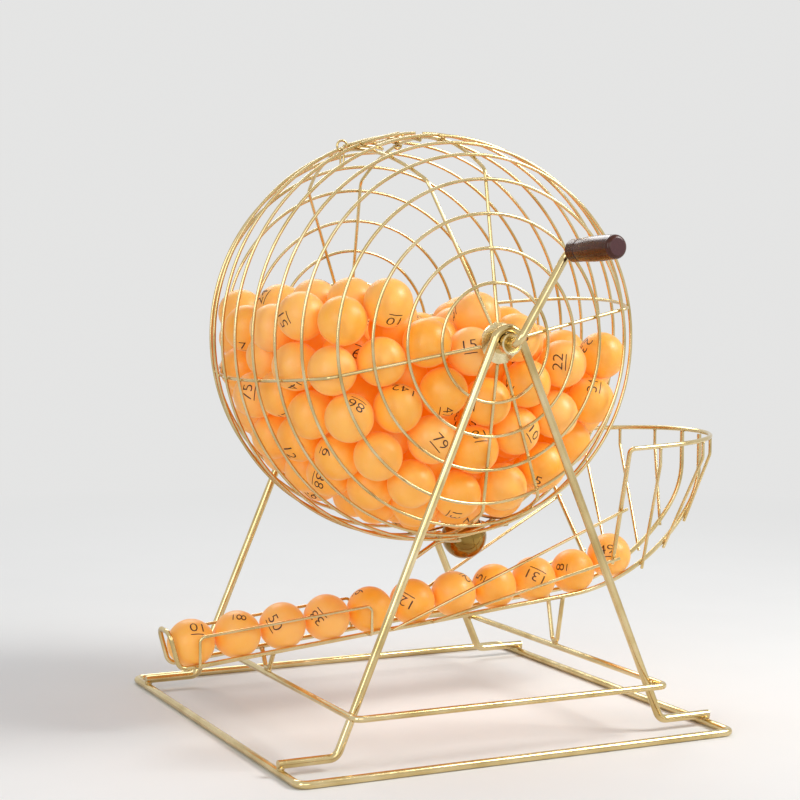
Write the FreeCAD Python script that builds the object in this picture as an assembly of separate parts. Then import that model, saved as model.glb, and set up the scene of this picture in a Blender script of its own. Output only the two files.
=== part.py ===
import FreeCAD, Part
import math
import os
import random

# Raffle drum with crank: a barrel-shaped wire cage full of balls turns on two
# wire A-frames.  A ball let out of the cage lands in the basket on the right and
# rolls down the chute to the left.  All lengths are in millimetres.
# +Y runs along the drum's axis away from the crank, +X towards the basket, +Z up.
# The origin is the middle of the base frame's footprint on the floor.

Vector = FreeCAD.Vector
Y_AXIS = Vector(0, 1, 0)
HALF_TURN = 180.0
FULL_TURN = 360.0
TINY = 1e-6             # keeps a division clear of zero

# ---- gaps and fits -----------------------------------------------------------
WELD_GAP = 0.1          # between wires joined by a small weld bead
RUN_GAP = 0.08          # radial, around a shaft that turns in its bush
SEAT_GAP = 0.02         # radial, around a shaft that is fixed in its hub
PASS_GAP = 0.3          # between pieces that move past each other

# ---- balls -------------------------------------------------------------------
BALL_D = 40.0
BALL_WALL = 0.4

# ---- base frame, brace frame and A-frames ------------------------------------
BASE_WIRE_D = 6.5
BASE_HALF_X = 194.0
BASE_PAST_LEGS = 38.0       # along Y
BASE_BEND = 8.0
BRACE_WIRE_D = 5.5
BRACE_Z = 43.2
BRACE_PAST_LEGS = 20.0      # along Y
BRACE_BEND = 7.0
LEG_ROD_D = 7.0
LEG_ANGLE = 23.0        # of each leg from the vertical
LEG_PLANE_Y = 162.0
APEX_R = 12.3           # centreline radius of the bend that holds the bush
FOOT_BEND = 9.0
FOOT_END_PAST_RAIL = 2.0

# ---- drum axis, bushes, hubs and axles ---------------------------------------
AXIS_Z = 326.5
BUSH_LENGTH = 13.2
BUSH_MOUTH_DEPTH = 3.0
BUSH_MOUTH_R = 7.2
AXLE_D = 7.0
HUB_BOSS_R = 8.6
HUB_INNER_Y = 138.0
HUB_END_PLAY = 0.4      # between hub and bush
HUB_CUP_R = 16.5
HUB_CUP_T = 2.3
REAR_AXLE_PAST_BUSH = 4.0

# ---- drum cage ---------------------------------------------------------------
DRUM_TURN = 11.0        # the cage's turn about its axis at rest
PROFILE_R = 242.0       # barrel profile through the centres of the ring wires
PROFILE_PEAK = 175.3    # its greatest radius about the drum's axis
RING_WIRE_D = 2.8
RING_PITCH = 30.5       # along the barrel profile
BARREL_RINGS = 4        # each side of the middle
CONE_RINGS = 4          # each end
CONE_START_Y = 126.0
CONE_START_RADIUS = 131.3
CONE_SLOPE = 0.19       # axial step per radial step
CONE_PITCH = 28.2       # along the cone
HOOP_WIRE_D = 3.0
HOOP_BEND = 10.0
SPOKE_START_RADIUS = 9.0
DOOR_HINGE_LOCAL = 79.0     # hoop that carries the door's hinge, before DRUM_TURN
BAY_ANGLE = 22.0            # from the hinge hoop to the hoop on its far side
SIDE_HOOP_LOCAL = 0.0

# ---- door and exit gate ------------------------------------------------------
ARM_WIRE_D = 2.4
ARM_BESIDE_RING = 0.5       # clearance between a hinge arm and the ring beside it
CURL_GAP = 0.5              # between a hinge curl and the hoop inside it
CURL_ARC = 270.0
BAR_WIRE_D = 3.0
BAR_PAST_RING = 1.7
DOOR_RING_OVERHANG = (1.2, 0.8)    # degrees, ring ends past hinge hoop and far hoop
GATE_RING_OVERHANG = (2.7, 1.6)
DOOR_BAR_ANGLES = (7.5, 19.8)      # from the hinge hoop
GATE_BAR_ANGLES = (5.9, 21.5)
DOOR_WIRE_ANGLES = (3.6, 20.6)
GATE_WIRE_ANGLES = (5.0, 22.3)
GATE_WIRE_Y = 21.0
TONGUE_D = 3.3
TONGUE_Y = -2.0
TONGUE_ANGLES = (6.5, 23.8)
LEVER_D = 4.0
LEVER_TAIL = 26.0           # length of the lever's tail from its bend
LEVER_TAIL_ANGLE = 30.5     # of the tail below the horizontal
LEVER_BEND = 5.0
GATE_BALL_D = 40.0
GATE_BALL_WALL = 0.8
GATE_BALL_ANGLE = 14.7      # from the hinge hoop
GATE_BALL_ORBIT_RADIUS = 183.0

# ---- latch -------------------------------------------------------------------
EYE_WIRE_D = 2.0
EYE_R = 4.5                 # centreline
EYE_ANGLE = 25.2            # from the hinge hoop
EYE_Y = -9.0
EYE_FOOT = 12.4
EYE_ARC = 300.0
LINK_WIRE_D = 1.8
LINK_WIDTH = 6.6            # centre to centre
LINK_LENGTH = 15.0          # centre to centre
LINK_BEND = 3.0
LINK_PLAY = 0.25

# ---- crank and grip ----------------------------------------------------------
CRANK_PLANE_Y = 178.0
CRANK_ANGLE = 58.4          # of the arm above +X
CRANK_ARM = 86.0
CRANK_BEND = 8.0
PIN_SPLAY = 2.75            # degrees, outward
PIN_LENGTH = 63.5
PIN_GROOVE_DEPTH = 0.8
PIN_GROOVE_WIDTH = 3.0
PIN_GROOVE_FROM_END = 5.0
GRIP_LENGTH = 61.6
GRIP_COLLAR_R = 9.2
GRIP_COLLAR_LENGTH = 11.0
GRIP_NECK_R = 8.3
GRIP_NECK_LENGTH = 1.6
GRIP_BODY_R = 10.1
GRIP_END_R = 9.4
GRIP_FACE_R = 6.6
GRIP_EDGE = 0.6
GRIP_ROUND = 4.4
GRIP_RIB_PLAY = 0.3

# ---- chute -------------------------------------------------------------------
CHUTE_WIRE_D = 4.1
CHUTE_HALF_Y = 14.0
CHUTE_START_X = -223.4      # corner between the rails and the end stop
CHUTE_START_Z = 56.1
CHUTE_SLOPE = 0.0963
CHUTE_TOP_X = 286.0
CHUTE_KNEE_X = 227.4        # where the straight run would meet the steep one
CHUTE_STEEP_ANGLE = 55.0
CHUTE_ARC_R = 172.0         # of the bend at the knee
CHUTE_TOP_ARC_R = 69.0      # of the bend from the steep run to the upright end
STOP_RUN = (-8.6, 31.5)     # x and z from the corner to the stop's top bar
STOP_LOW_BEND = 8.0
STOP_TOP_BEND = 9.0
CHUTE_BALLS = 11
CHUTE_BALL_PITCH = 41.0
CHUTE_BALL_GAP = 0.3        # above the rails
CHUTE_FIRST_BALL_GAP = 1.8  # along the rails, from the end stop
GUARD_WIRE_D = 2.6
GUARD_Y = 22.2
GUARD_X = (-208.5, -53.5)
GUARD_HEIGHT = 25.5
GUARD_FOOT_BEND = 3.0
GUARD_TOP_BEND = 5.0
SUPPORT_WIRE_D = 4.0
SUPPORT_HALF_FOOT = 4.0
SUPPORT_BEND = 4.0

# ---- basket ------------------------------------------------------------------
RIM_WIRE_D = 4.1
RIM_R = 87.0
RIM_CENTRE_X = 202.0
RIM_CORNER_X = 163.5
RIM_Z = 233.5               # at RIM_Z_X
RIM_Z_X = 240.0
RIM_SLOPE = 0.045
RIM_CORNER_BEND = 4.0
RIM_END = (186.0, 24.0, 119.7)      # foot of the rim's bent-down ends
RIB_WIRE_D = 2.9
RIB_DROP = 14.0
RIB_BEND = 6.0
RIB_PAST_RAIL = 4.0
# For each rib, the angle of its top about the rim's centre and its x at the rail.
FRONT_RIBS = ((-94.6, 222.0), (-57.0, 246.0), (-38.0, 268.0))
REAR_RIBS = ((-77.5, 208.0), (-54.3, 238.5), (-31.5, 262.0))
GUIDE_WIRE_D = 2.7
GUIDE_START_X = (-31.0, 7.0)
GUIDE_CROSS_Z = (173.0, 125.0)      # height at which each guide meets the rim's end
GUIDE_PAST_RIM = 5.0

# ---- ball pile ---------------------------------------------------------------
PILE_BALLS = 196
PILE_SEED = 7
PILE_TILT = 9.0             # of the pile's surface, down towards +X
PILE_SPACING = 40.4
PILE_WALL_GAP = 0.4
PILE_STEPS = 260
PILE_SWEEPS = 4
PILE_LAST_SWEEPS = 400
PILE_FALL_LENGTH = 3.0

# ---- derived sizes -----------------------------------------------------------
BASE_HALF_Y = LEG_PLANE_Y + BASE_PAST_LEGS
BRACE_HALF_Y = LEG_PLANE_Y + BRACE_PAST_LEGS
HINGE_ANGLE = DOOR_HINGE_LOCAL + DRUM_TURN
GATE_HINGE_ANGLE = HINGE_ANGLE + HALF_TURN
PROFILE_DROP = PROFILE_R - PROFILE_PEAK
HOOP_OFFSET = -(RING_WIRE_D + HOOP_WIRE_D) / 2 - WELD_GAP
BRACE_LEG_REACH = (LEG_ROD_D + BRACE_WIRE_D) / 2 + WELD_GAP
BUSH_INNER_Y = LEG_PLANE_Y - BUSH_LENGTH / 2
BUSH_OUTER_Y = LEG_PLANE_Y + BUSH_LENGTH / 2
BUSH_R = APEX_R - LEG_ROD_D / 2 - WELD_GAP
CURL_R = (HOOP_WIRE_D + ARM_WIRE_D) / 2 + CURL_GAP
FOOT_Z = BASE_WIRE_D + WELD_GAP + LEG_ROD_D / 2
APEX_Z = AXIS_Z + APEX_R / math.sin(math.radians(LEG_ANGLE))


# ---- general helpers ---------------------------------------------------------
def bent_edges(points, bends, closed=False):
    """Straight runs through the points, with a tangent arc of each bend radius."""
    count = len(points)
    arrive = list(points)
    leave = list(points)
    arcs = [None] * count
    corners = range(count) if closed else range(1, count - 1)
    for i in corners:
        back = (points[i - 1] - points[i]).normalize()
        ahead = (points[(i + 1) % count] - points[i]).normalize()
        half = math.acos(max(-1.0, min(1.0, back.dot(ahead)))) / 2
        reach = bends[i] / math.tan(half)
        middle = (back + ahead).normalize() * (bends[i] / math.sin(half) - bends[i])
        arrive[i] = points[i] + back * reach
        leave[i] = points[i] + ahead * reach
        arcs[i] = Part.Arc(arrive[i], points[i] + middle, leave[i]).toShape()
    edges = []
    for i in range(count if closed else count - 1):
        if arcs[i] is not None:
            edges.append(arcs[i])
        after = (i + 1) % count
        edges.append(Part.LineSegment(leave[i], arrive[after]).toShape())
    return edges


def wire_along(edges, diameter):
    """Round wire swept along a smooth path of edges."""
    path = Part.Wire(edges)
    first = path.OrderedEdges[0]
    start, heading = first.valueAt(first.FirstParameter), first.tangentAt(first.FirstParameter)
    section = Part.Wire([Part.Circle(start, heading, diameter / 2).toShape()])
    return path.makePipeShell([section], True, False)


def bent_wire(points, bends, diameter, closed=False):
    """Round wire bent at each inner point, or at every point of a closed loop."""
    if not isinstance(bends, (list, tuple)):
        bends = [bends] * len(points)
    return wire_along(bent_edges(points, bends, closed), diameter)


def turned(edges, base, axis):
    """Solid turned from a closed profile drawn in (radius, along) coordinates."""
    solid = Part.Face(Part.Wire(edges)).revolve(Vector(), Vector(0, 0, 1), FULL_TURN)
    solid.Placement = FreeCAD.Placement(base, FreeCAD.Rotation(Vector(0, 0, 1), axis))
    return solid


def profile_lines(points):
    """Closed outline of straight lines through (radius, along) points."""
    corners = [Vector(radius, 0, along) for radius, along in points]
    return [Part.LineSegment(a, b).toShape() for a, b in zip(corners, corners[1:] + corners[:1])]


def hollow_ball(diameter, wall):
    """Thin spherical shell about the origin."""
    return Part.makeSphere(diameter / 2).cut(Part.makeSphere(diameter / 2 - wall))


def placed(shape, centre):
    """Copy of a shape moved to a centre."""
    return shape.translated(centre)


def crossing_offset(first, second, towards, distance):
    """Vector square to two wires' directions, of a length, on the side of towards."""
    normal = first.cross(second).normalize()
    if normal.dot(towards) < 0:
        normal = normal * -1
    return normal * distance


def save(name, solids):
    """Write one node as one STEP file."""
    shape = solids[0] if len(solids) == 1 else Part.makeCompound(solids)
    shape.exportStep("parts/" + name + ".step")


# ---- drum geometry -----------------------------------------------------------
def drum_point(angle, rho, y, along=0.0):
    """Point at an angle and radius about the drum's axis, moved along the tangent."""
    a = math.radians(angle)
    x = rho * math.cos(a) - along * math.sin(a)
    z = rho * math.sin(a) + along * math.cos(a)
    return Vector(x, y, AXIS_Z + z)


def profile_rho(y, offset=0.0):
    """Radius of the barrel profile, moved outward by an offset, at a station y."""
    return math.sqrt((PROFILE_R + offset) ** 2 - y ** 2) - PROFILE_DROP


def barrel_ring(index):
    """Station and radius of a barrel ring, counted outward from the middle."""
    turn = (index + 0.5) * RING_PITCH / PROFILE_R
    return PROFILE_R * math.sin(turn), PROFILE_R * math.cos(turn) - PROFILE_DROP


def cone_ring(index):
    """Station and radius of a ring on the conical end, counted towards the hub."""
    radial = index * CONE_PITCH / math.hypot(1.0, CONE_SLOPE)
    return CONE_START_Y + CONE_SLOPE * radial, CONE_START_RADIUS - radial


def spoke_y(rho):
    """Station of a spoke's centreline at a radius."""
    lift = HOOP_OFFSET * math.hypot(1.0, CONE_SLOPE)
    return CONE_START_Y + CONE_SLOPE * (CONE_START_RADIUS - rho) + lift


def ring_arc(rho, y, start, end):
    """Arc about the drum's axis from one angle to another."""
    middle = (start + end) / 2
    ends = [drum_point(a, rho, y) for a in (start, middle, end)]
    return Part.Arc(*ends).toShape()


def full_ring(y, rho):
    return Part.makeTorus(rho, RING_WIRE_D / 2, Vector(0, y, AXIS_Z), Y_AXIS)


RING_7_Y = barrel_ring(1)[0]
ARM_Y = RING_7_Y - (RING_WIRE_D + ARM_WIRE_D) / 2 - ARM_BESIDE_RING
HINGE_RHO = profile_rho(ARM_Y, HOOP_OFFSET)


def hoop_wires():
    """Six half hoops inside the rings, from hub to hub: spoke, bend, barrel, bend, spoke."""
    solids = []
    for local in (DOOR_HINGE_LOCAL, DOOR_HINGE_LOCAL + BAY_ANGLE, SIDE_HOOP_LOCAL):
        solids.append(half_hoop(local + DRUM_TURN))
        solids.append(half_hoop(local + DRUM_TURN + HALF_TURN))
    return solids


def half_hoop(angle):
    arc_r = PROFILE_R + HOOP_OFFSET
    spoke_length = math.hypot(1.0, CONE_SLOPE)
    along = (-CONE_SLOPE / spoke_length, 1 / spoke_length)
    outward = (1 / spoke_length, CONE_SLOPE / spoke_length)
    # The bend's centre lies HOOP_BEND inside both the spoke and the barrel arc.
    base_y = spoke_y(0.0) - outward[0] * HOOP_BEND
    base_rho = PROFILE_DROP - outward[1] * HOOP_BEND
    dot = base_y * along[0] + base_rho * along[1]
    reach = arc_r - HOOP_BEND
    t = -dot + math.sqrt(dot ** 2 - base_y ** 2 - base_rho ** 2 + reach ** 2)
    centre_y = base_y + t * along[0]
    centre_rho = base_rho + t * along[1] - PROFILE_DROP
    radial = (centre_y / reach, (centre_rho + PROFILE_DROP) / reach)
    on_spoke = (centre_y + outward[0] * HOOP_BEND, centre_rho + outward[1] * HOOP_BEND)
    on_arc = (radial[0] * arc_r, radial[1] * arc_r - PROFILE_DROP)
    mid = (outward[0] + radial[0], outward[1] + radial[1])
    mid_length = math.hypot(*mid)
    on_bend = (centre_y + mid[0] / mid_length * HOOP_BEND, centre_rho + mid[1] / mid_length * HOOP_BEND)
    start = (spoke_y(SPOKE_START_RADIUS), SPOKE_START_RADIUS)

    def at(side, station):
        return drum_point(angle, station[1], side * station[0])

    top = (0.0, arc_r - PROFILE_DROP)
    edges = [
        Part.LineSegment(at(-1, start), at(-1, on_spoke)).toShape(),
        Part.Arc(at(-1, on_spoke), at(-1, on_bend), at(-1, on_arc)).toShape(),
        Part.Arc(at(-1, on_arc), at(1, top), at(1, on_arc)).toShape(),
        Part.Arc(at(1, on_arc), at(1, on_bend), at(1, on_spoke)).toShape(),
        Part.LineSegment(at(1, on_spoke), at(1, start)).toShape(),
    ]
    return wire_along(edges, HOOP_WIRE_D)


def cone_rings(side):
    return [full_ring(side * cone_ring(i)[0], cone_ring(i)[1]) for i in range(CONE_RINGS)]


def barrel_rings():
    """The outer barrel rings, which are whole."""
    stations = [barrel_ring(i) for i in range(2, BARREL_RINGS)]
    return [full_ring(side * y, rho) for y, rho in stations for side in (-1, 1)]


def bay_rings():
    """The four middle rings, cut where the door and the exit gate lie."""
    door_far = HINGE_ANGLE + BAY_ANGLE
    gate_far = GATE_HINGE_ANGLE + BAY_ANGLE - FULL_TURN
    right = (gate_far - GATE_RING_OVERHANG[1], HINGE_ANGLE + DOOR_RING_OVERHANG[0])
    left = (door_far - DOOR_RING_OVERHANG[1], GATE_HINGE_ANGLE + GATE_RING_OVERHANG[0])
    solids = []
    for y, rho in (barrel_ring(0), barrel_ring(1)):
        for side in (-1, 1):
            for start, end in (right, left):
                solids.append(wire_along([ring_arc(rho, side * y, start, end)], RING_WIRE_D))
    return solids


# ---- hubs, axles, crank and grip ---------------------------------------------
def hub(side):
    """Boss on the axle with a dished cup that the spokes are welded into."""
    bore = AXLE_D / 2 + SEAT_GAP
    outer_y = BUSH_INNER_Y - HUB_END_PLAY
    seat = HOOP_WIRE_D / 2 * math.hypot(1.0, CONE_SLOPE) + WELD_GAP
    cup_boss = spoke_y(HUB_BOSS_R) + seat
    cup_rim = spoke_y(HUB_CUP_R) + seat
    points = [
        (bore, HUB_INNER_Y),
        (HUB_BOSS_R, HUB_INNER_Y),
        (HUB_BOSS_R, cup_boss),
        (HUB_CUP_R, cup_rim),
        (HUB_CUP_R, cup_rim + HUB_CUP_T),
        (HUB_BOSS_R, cup_boss + HUB_CUP_T),
        (HUB_BOSS_R, outer_y),
        (bore, outer_y),
    ]
    return [turned(profile_lines(points), Vector(0, 0, AXIS_Z), Vector(0, side, 0))]


def bush(side):
    """Tube held in the A-frame's top bend, with a tapered mouth on the outside."""
    bore = AXLE_D / 2 + RUN_GAP
    points = [
        (bore, BUSH_INNER_Y),
        (BUSH_R, BUSH_INNER_Y),
        (BUSH_R, BUSH_OUTER_Y),
        (BUSH_MOUTH_R, BUSH_OUTER_Y),
        (bore, BUSH_OUTER_Y - BUSH_MOUTH_DEPTH),
    ]
    return [turned(profile_lines(points), Vector(0, 0, AXIS_Z), Vector(0, side, 0))]


def rear_axle():
    length = BUSH_OUTER_Y + REAR_AXLE_PAST_BUSH - HUB_INNER_Y
    return [Part.makeCylinder(AXLE_D / 2, length, Vector(0, HUB_INNER_Y, AXIS_Z), Y_AXIS)]


def crank_corner():
    """Point where the crank's arm turns into the pin, and the pin's direction."""
    a = math.radians(CRANK_ANGLE)
    splay = math.radians(PIN_SPLAY)
    arm = Vector(math.cos(a), 0, math.sin(a))
    corner = Vector(0, -CRANK_PLANE_Y, AXIS_Z) + arm * CRANK_ARM
    return corner, arm * math.sin(splay) - Y_AXIS * math.cos(splay)


def crank_rod():
    """Front axle, arm and grip pin bent from one rod, with a groove near the pin's end."""
    corner, pin = crank_corner()
    points = [
        Vector(0, -HUB_INNER_Y, AXIS_Z),
        Vector(0, -CRANK_PLANE_Y, AXIS_Z),
        corner,
        corner + pin * PIN_LENGTH,
    ]
    rod = bent_wire(points, CRANK_BEND, AXLE_D)
    groove_start = corner + pin * (PIN_LENGTH - PIN_GROOVE_FROM_END - PIN_GROOVE_WIDTH)
    groove = Part.makeCylinder(AXLE_D, PIN_GROOVE_WIDTH, groove_start, pin)
    core = Part.makeCylinder(AXLE_D / 2 - PIN_GROOVE_DEPTH, PIN_GROOVE_WIDTH, groove_start, pin)
    return [rod.cut(groove.cut(core))]


def grip():
    """Turned handle that spins on the pin; a rib inside it snaps into the pin's groove."""
    corner, pin = crank_corner()
    start = CRANK_BEND + HUB_END_PLAY
    end = start + GRIP_LENGTH
    bore = AXLE_D / 2 + RUN_GAP
    neck = start + GRIP_COLLAR_LENGTH
    body = neck + GRIP_NECK_LENGTH
    groove_end = PIN_LENGTH - PIN_GROOVE_FROM_END
    rib = (groove_end - PIN_GROOVE_WIDTH + GRIP_RIB_PLAY, groove_end - GRIP_RIB_PLAY)
    rib_r = AXLE_D / 2 - PIN_GROOVE_DEPTH + GRIP_RIB_PLAY
    bottom = PIN_LENGTH + GRIP_RIB_PLAY
    shoulder = end - GRIP_ROUND
    stations = [
        (bore, start),
        (GRIP_COLLAR_R - GRIP_EDGE, start),
        (GRIP_COLLAR_R, start + GRIP_EDGE),
        (GRIP_COLLAR_R, neck),
        (GRIP_NECK_R, neck + GRIP_EDGE),
        (GRIP_NECK_R, body - GRIP_EDGE),
        (GRIP_COLLAR_R, body),
    ]
    inner = [
        (0, end),
        (0, bottom),
        (bore, bottom),
        (bore, rib[1]),
        (rib_r, rib[1]),
        (rib_r, rib[0]),
        (bore, rib[0]),
        (bore, start),
    ]

    def run(points):
        corners = [Vector(radius, 0, along) for radius, along in points]
        return [Part.LineSegment(a, b).toShape() for a, b in zip(corners, corners[1:])]

    swell = Part.Arc(
        Vector(GRIP_COLLAR_R, 0, body),
        Vector(GRIP_BODY_R, 0, (body + shoulder) / 2),
        Vector(GRIP_END_R, 0, shoulder),
    )
    half_round = math.sqrt(0.5)
    round_over = Part.Arc(
        Vector(GRIP_END_R, 0, shoulder),
        Vector(GRIP_FACE_R + (GRIP_END_R - GRIP_FACE_R) * half_round, 0, shoulder + GRIP_ROUND * half_round),
        Vector(GRIP_FACE_R, 0, end),
    )
    edges = run(stations) + [swell.toShape(), round_over.toShape()]
    edges += run([(GRIP_FACE_R, end)] + inner)
    return [turned(edges, corner, pin)]


# ---- door and exit gate ------------------------------------------------------
def hinge_arm(hinge_angle, far_angle, y):
    """Arm in a ring plane whose end curls round the hinge hoop."""
    rho = HINGE_RHO + CURL_R
    edges = [ring_arc(rho, y, hinge_angle + far_angle, hinge_angle)]

    def on_curl(turn):
        a = math.radians(turn)
        return drum_point(hinge_angle, HINGE_RHO + CURL_R * math.cos(a), y, -CURL_R * math.sin(a))

    edges.append(Part.Arc(on_curl(0), on_curl(CURL_ARC / 2), on_curl(CURL_ARC)).toShape())
    return wire_along(edges, ARM_WIRE_D)


def profile_bar(angle, offset, half_y, diameter):
    """Wire that follows the barrel profile in the half-plane of one angle."""
    points = [drum_point(angle, profile_rho(y, offset), y) for y in (-half_y, 0.0, half_y)]
    return wire_along([Part.Arc(*points).toShape()], diameter)


BAR_HALF_Y = RING_7_Y + BAR_PAST_RING
DOOR_BAR_OFFSET = HOOP_OFFSET + PASS_GAP
DOOR_WIRE_OFFSET = DOOR_BAR_OFFSET + (BAR_WIRE_D + RING_WIRE_D) / 2 + WELD_GAP
GATE_BAR_OFFSET = (BAR_WIRE_D + RING_WIRE_D) / 2 + PASS_GAP
GATE_WIRE_OFFSET = GATE_BAR_OFFSET - (BAR_WIRE_D + ARM_WIRE_D) / 2 - WELD_GAP


def door_hinge_arms():
    return [hinge_arm(HINGE_ANGLE, DOOR_WIRE_ANGLES[1], side * ARM_Y) for side in (-1, 1)]


def door_cross_bars():
    """Bars under the door's wires, in line with the hoops."""
    angles = [HINGE_ANGLE + a for a in DOOR_BAR_ANGLES]
    return [profile_bar(a, DOOR_BAR_OFFSET, BAR_HALF_Y, BAR_WIRE_D) for a in angles]


def door_ring_wires():
    """Wires that carry the four cut rings on across the door."""
    start, end = [HINGE_ANGLE + a for a in DOOR_WIRE_ANGLES]
    solids = []
    for index in (0, 1):
        y = barrel_ring(index)[0]
        for side in (-1, 1):
            arc = ring_arc(profile_rho(y, DOOR_WIRE_OFFSET), side * y, start, end)
            solids.append(wire_along([arc], RING_WIRE_D))
    return solids


def door_tongue():
    """Straight rod on the door's bars that reaches over the far hoop to the latch."""
    rho = profile_rho(TONGUE_Y, DOOR_BAR_OFFSET) + (BAR_WIRE_D + TONGUE_D) / 2 + WELD_GAP
    middle = HINGE_ANGLE + sum(DOOR_BAR_ANGLES) / 2
    half = math.radians(DOOR_BAR_ANGLES[1] - DOOR_BAR_ANGLES[0]) / 2
    chord_rho = rho * math.cos(half)
    ends = []
    for angle in TONGUE_ANGLES:
        reach = chord_rho * math.tan(math.radians(HINGE_ANGLE + angle - middle))
        ends.append(drum_point(middle, chord_rho, TONGUE_Y, reach))
    return [wire_along([Part.LineSegment(*ends).toShape()], TONGUE_D)]


def gate_hinge_arms():
    return [hinge_arm(GATE_HINGE_ANGLE, GATE_WIRE_ANGLES[1], side * ARM_Y) for side in (-1, 1)]


def gate_cross_bars():
    """Bars outside the gate's wires; the far one rests on the ends of the cut rings."""
    angles = [GATE_HINGE_ANGLE + a for a in GATE_BAR_ANGLES]
    return [profile_bar(a, GATE_BAR_OFFSET, BAR_HALF_Y, BAR_WIRE_D) for a in angles]


def gate_wires():
    """Two wires that close the gate on both sides of its ball."""
    start, end = [GATE_HINGE_ANGLE + a for a in GATE_WIRE_ANGLES]
    rho = profile_rho(GATE_WIRE_Y, GATE_WIRE_OFFSET)
    arcs = [ring_arc(rho, side * GATE_WIRE_Y, start, end) for side in (-1, 1)]
    return [wire_along([arc], ARM_WIRE_D) for arc in arcs]


def gate_ball_centre():
    return drum_point(GATE_HINGE_ANGLE + GATE_BALL_ANGLE, GATE_BALL_ORBIT_RADIUS, 0.0)


def gate_lever():
    """Rod welded under the gate's near bar, from a short tail to the ball."""
    rho = profile_rho(0.0, GATE_BAR_OFFSET) + (BAR_WIRE_D + LEVER_D) / 2 + WELD_GAP
    corner = drum_point(GATE_HINGE_ANGLE + GATE_BAR_ANGLES[0], rho, 0.0)
    to_ball = gate_ball_centre() - corner
    reach = to_ball.Length - GATE_BALL_D / 2 - WELD_GAP
    tail = math.radians(LEVER_TAIL_ANGLE)
    tail_end = corner - Vector(math.cos(tail), 0, math.sin(tail)) * LEVER_TAIL
    points = [tail_end, corner, corner + to_ball.normalize() * reach]
    return [bent_wire(points, LEVER_BEND, LEVER_D)]


def gate_ball():
    return [placed(hollow_ball(GATE_BALL_D, GATE_BALL_WALL), gate_ball_centre())]


# ---- latch -------------------------------------------------------------------
def eye_centre():
    foot_rho = profile_rho(EYE_Y, HOOP_OFFSET) + (HOOP_WIRE_D + EYE_WIRE_D) / 2 + WELD_GAP
    return drum_point(HINGE_ANGLE + EYE_ANGLE, foot_rho + EYE_R, EYE_Y), foot_rho


def latch_eye():
    """Eye on a straight foot that is welded over the door's far hoop."""
    angle = HINGE_ANGLE + EYE_ANGLE
    foot_rho = eye_centre()[1]

    def on_eye(turn):
        a = math.radians(turn)
        return drum_point(angle, foot_rho + EYE_R * (1 - math.cos(a)), EYE_Y, EYE_R * math.sin(a))

    foot = Part.LineSegment(drum_point(angle, foot_rho, EYE_Y, -EYE_FOOT), on_eye(0))
    loop = Part.Arc(on_eye(0), on_eye(EYE_ARC / 2), on_eye(EYE_ARC))
    return [wire_along([foot.toShape(), loop.toShape()], EYE_WIRE_D)]


def latch_link():
    """Closed link that hangs in the eye."""
    drop = EYE_R - EYE_WIRE_D / 2 - LINK_WIRE_D / 2 - LINK_PLAY
    top = eye_centre()[0] - Vector(0, 0, drop)
    side = Vector(0, LINK_WIDTH / 2, 0)
    down = Vector(0, 0, -LINK_LENGTH)
    points = [top - side, top + side, top + side + down, top - side + down]
    return [bent_wire(points, [LINK_BEND] * 4, LINK_WIRE_D, closed=True)]


# ---- stand -------------------------------------------------------------------
def leg_x(z):
    """Distance of a leg's centreline from the middle at a height."""
    return (APEX_Z - z) * math.tan(math.radians(LEG_ANGLE))


BRACE_HALF_X = leg_x(BRACE_Z) + BRACE_LEG_REACH / math.cos(math.radians(LEG_ANGLE))


def flat_frame(half_x, half_y, z, bend, diameter):
    corners = [(-1, -1), (1, -1), (1, 1), (-1, 1)]
    points = [Vector(x * half_x, y * half_y, z) for x, y in corners]
    return [bent_wire(points, bend, diameter, closed=True)]


def a_frame(side):
    """Rod bent into a foot, a leg, the bend round the bush, a leg and a foot."""
    y = side * LEG_PLANE_Y
    foot_end = BASE_HALF_X + FOOT_END_PAST_RAIL
    points = [
        Vector(-foot_end, y, FOOT_Z),
        Vector(-leg_x(FOOT_Z), y, FOOT_Z),
        Vector(0, y, APEX_Z),
        Vector(leg_x(FOOT_Z), y, FOOT_Z),
        Vector(foot_end, y, FOOT_Z),
    ]
    return [bent_wire(points, [0, FOOT_BEND, APEX_R, FOOT_BEND, 0], LEG_ROD_D)]


# ---- chute -------------------------------------------------------------------
CHUTE_ANGLE = math.atan(CHUTE_SLOPE)
CHUTE_STEEP = math.radians(CHUTE_STEEP_ANGLE)
CHUTE_ARC_REACH = CHUTE_ARC_R * math.tan((CHUTE_STEEP - CHUTE_ANGLE) / 2)
CHUTE_ARC_START_X = CHUTE_KNEE_X - CHUTE_ARC_REACH * math.cos(CHUTE_ANGLE)
CHUTE_ARC_X = CHUTE_ARC_START_X - CHUTE_ARC_R * math.sin(CHUTE_ANGLE)


def chute_z(x):
    """Height of the straight rails' centreline."""
    return CHUTE_START_Z + CHUTE_SLOPE * (x - CHUTE_START_X)


CHUTE_ARC_Z = chute_z(CHUTE_ARC_X) + CHUTE_ARC_R / math.cos(CHUTE_ANGLE)


def chute_arc_point(x):
    """Point on the rails' bend at the knee, and the direction of the rail there."""
    a = math.asin((x - CHUTE_ARC_X) / CHUTE_ARC_R)
    point = Vector(x, 0, CHUTE_ARC_Z - CHUTE_ARC_R * math.cos(a))
    return point, Vector(math.cos(a), 0, math.sin(a))


def rim_z(x):
    return RIM_Z + RIM_SLOPE * (x - RIM_Z_X)


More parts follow.
